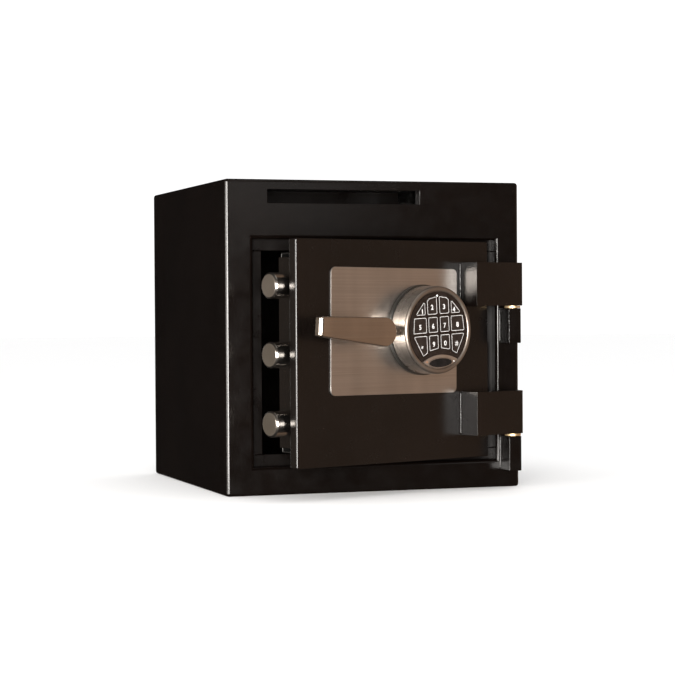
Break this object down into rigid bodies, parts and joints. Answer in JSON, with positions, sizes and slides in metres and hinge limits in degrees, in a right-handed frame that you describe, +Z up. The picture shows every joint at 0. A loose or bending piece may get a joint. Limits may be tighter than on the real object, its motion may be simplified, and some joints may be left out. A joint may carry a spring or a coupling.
{
  "type": "depository safe",
  "caption": "Small black depository safe with its door ajar: front deposit slot, lever handle, thrown locking bolts, round electronic keypad and external hinges.",
  "frame": {"origin": "centre of the cabinet's underside", "axes": "+Z up; +Y into the cabinet, from the door towards the back; +X to the right as seen from the front, towards the hinges"},
  "size_m": [0.3556, 0.4815, 0.3556],
  "materials": {
    "black_paint": "textured semi-gloss black",
    "satin_black": "satin black",
    "dark_sheet": "dark sheet metal",
    "chrome": "polished",
    "brushed_stainless": "brushed across",
    "steel": "machined",
    "washer_bronze": "turned",
    "gloss_black": "gloss",
    "key_black": "satin",
    "light_white": "clear white"
  },
  "bodies": {
    "cabinet": {"cabinet_wrap": "black_paint", "cabinet_back": "black_paint", "front_frame": "black_paint", "stop_top": "black_paint", "stop_bottom": "black_paint", "stop_left": "black_paint", "stop_right": "black_paint", "slot_baffle_upper": "dark_sheet", "slot_baffle_lower": "dark_sheet", "knuckle_upper": "black_paint", "knuckle_lower": "black_paint", "hinge_pin_upper": "steel", "hinge_pin_lower": "steel", "hinge_washer_upper": "washer_bronze", "hinge_washer_lower": "washer_bronze"},
    "door": {"door_plate": "satin_black", "hinge_strap_upper": "satin_black", "hinge_strap_lower": "satin_black", "trim_plate": "brushed_stainless", "bolt_guide": "black_paint", "dead_bar": "black_paint", "hard_plate": "steel", "lock_case": "dark_sheet", "lock_cover": "steel", "work_cover": "dark_sheet", "keypad_base": "steel", "keypad_housing": "chrome", "keypad_lens": "gloss_black", "keypad_crescent": "chrome", "keypad_badge": "gloss_black", "keypad_light": "light_white"},
    "handle": {"handle_lever": "chrome", "handle_collar": "chrome", "handle_spindle": "steel", "drive_cam": "steel", "crank_pin": "steel", "spindle_ring": "steel"},
    "boltwork": {"bolt_carrier": "steel", "locking_bolt_upper": "chrome", "locking_bolt_middle": "chrome", "locking_bolt_lower": "chrome"},
    "latch": {"lock_bolt": "steel"},
    "key_1": {"key_1": "key_black"},
    "key_2": {"key_2": "key_black"},
    "key_3": {"key_3": "key_black"},
    "key_4": {"key_4": "key_black"},
    "key_5": {"key_5": "key_black"},
    "key_6": {"key_6": "key_black"},
    "key_7": {"key_7": "key_black"},
    "key_8": {"key_8": "key_black"},
    "key_9": {"key_9": "key_black"},
    "key_0": {"key_0": "key_black"},
    "key_star": {"key_star": "key_black"},
    "key_hash": {"key_hash": "key_black"}
  },
  "joints": [
    {"name": "door_hinge", "type": "hinge", "parent": "cabinet", "child": "door", "pos_m": [0.1614, -0.19105, 0.16], "axis": [0, 0, 1], "range_deg": [-19.96, 130.04]},
    {"name": "handle_turn", "type": "hinge", "parent": "door", "child": "handle", "pos_m": [-0.03986, -0.24329, 0.1841], "axis": [0.3414, -0.9399, 0], "range_deg": [0, 70]},
    {"name": "bolt_throw", "type": "slide", "parent": "door", "child": "boltwork", "axis": [0.9399, 0.3414, 0], "range_m": [0, 0.02801]},
    {"name": "latch_travel", "type": "slide", "parent": "door", "child": "latch", "axis": [0, 0, 1], "range_m": [0, 0.00951]},
    {"name": "key_1_press", "type": "slide", "parent": "door", "child": "key_1", "axis": [-0.3414, 0.9399, 0], "range_m": [0, 0.0008], "stiffness_N_per_m": 400},
    {"name": "key_2_press", "type": "slide", "parent": "door", "child": "key_2", "axis": [-0.3414, 0.9399, 0], "range_m": [0, 0.0008], "stiffness_N_per_m": 400},
    {"name": "key_3_press", "type": "slide", "parent": "door", "child": "key_3", "axis": [-0.3414, 0.9399, 0], "range_m": [0, 0.0008], "stiffness_N_per_m": 400},
    {"name": "key_4_press", "type": "slide", "parent": "door", "child": "key_4", "axis": [-0.3414, 0.9399, 0], "range_m": [0, 0.0008], "stiffness_N_per_m": 400},
    {"name": "key_5_press", "type": "slide", "parent": "door", "child": "key_5", "axis": [-0.3414, 0.9399, 0], "range_m": [0, 0.0008], "stiffness_N_per_m": 400},
    {"name": "key_6_press", "type": "slide", "parent": "door", "child": "key_6", "axis": [-0.3414, 0.9399, 0], "range_m": [0, 0.0008], "stiffness_N_per_m": 400},
    {"name": "key_7_press", "type": "slide", "parent": "door", "child": "key_7", "axis": [-0.3414, 0.9399, 0], "range_m": [0, 0.0008], "stiffness_N_per_m": 400},
    {"name": "key_8_press", "type": "slide", "parent": "door", "child": "key_8", "axis": [-0.3414, 0.9399, 0], "range_m": [0, 0.0008], "stiffness_N_per_m": 400},
    {"name": "key_9_press", "type": "slide", "parent": "door", "child": "key_9", "axis": [-0.3414, 0.9399, 0], "range_m": [0, 0.0008], "stiffness_N_per_m": 400},
    {"name": "key_0_press", "type": "slide", "parent": "door", "child": "key_0", "axis": [-0.3414, 0.9399, 0], "range_m": [0, 0.0008], "stiffness_N_per_m": 400},
    {"name": "key_star_press", "type": "slide", "parent": "door", "child": "key_star", "axis": [-0.3414, 0.9399, 0], "range_m": [0, 0.0008], "stiffness_N_per_m": 400},
    {"name": "key_hash_press", "type": "slide", "parent": "door", "child": "key_hash", "axis": [-0.3414, 0.9399, 0], "range_m": [0, 0.0008], "stiffness_N_per_m": 400}
  ],
  "couplings": [
    {"joint": "bolt_throw", "follows": "handle_turn", "m_per_rad": 0.022918},
    {"joint": "latch_travel", "follows": "handle_turn", "m_per_rad": 0.0077759}
  ]
}
